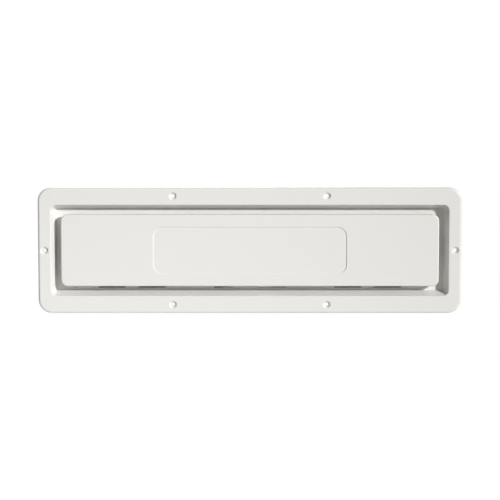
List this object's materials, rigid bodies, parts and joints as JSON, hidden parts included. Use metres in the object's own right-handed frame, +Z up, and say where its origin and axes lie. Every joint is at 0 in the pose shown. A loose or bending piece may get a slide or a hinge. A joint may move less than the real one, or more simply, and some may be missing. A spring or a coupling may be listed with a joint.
{
  "type": "dorade vent",
  "caption": "Flush rectangular dorade vent for a boat's side: flanged trough, clip-on front panel and a baffled water trap box with a rear hose collar.",
  "frame": {"origin": "centre of the cut-out in the plane of the hull's outer skin, where the gasket's rear face lies", "axes": "+X along the vent to the right as seen from outside, +Z up the hull, +Y inboard, so the front faces -Y"},
  "size_m": [0.47, 0.129, 0.14],
  "materials": {
    "white_asa": "satin moulded ASA, UV stable",
    "white_abs": "plain moulded ABS",
    "black_rubber": "closed cell EPDM",
    "natural_acetal": "moulded acetal",
    "stainless": "plain A4 stainless steel"
  },
  "bodies": {
    "vent": {"front_frame": "white_asa", "hull_gasket": "black_rubber", "rear_box": "white_abs", "box_seal": "black_rubber", "box_screws": "stainless", "intake_screen_left": "white_abs", "intake_screen_right": "white_abs", "screen_screws": "stainless", "baffle_left": "white_abs", "baffle_right": "white_abs", "hose_collar": "white_abs", "collar_gasket": "black_rubber", "collar_screws": "stainless", "clip_socket_1": "natural_acetal", "clip_socket_2": "natural_acetal", "clip_socket_3": "natural_acetal", "clip_socket_4": "natural_acetal", "clip_socket_5": "natural_acetal", "clip_socket_6": "natural_acetal"},
    "panel": {"front_panel": "white_asa", "panel_stud_1": "natural_acetal", "panel_stud_2": "natural_acetal", "panel_stud_3": "natural_acetal", "panel_stud_4": "natural_acetal", "panel_stud_5": "natural_acetal", "panel_stud_6": "natural_acetal"}
  },
  "joints": [
    {"name": "panel_pull", "type": "slide", "parent": "vent", "child": "panel", "axis": [0, -1, 0], "range_m": [0, 0.024]}
  ]
}
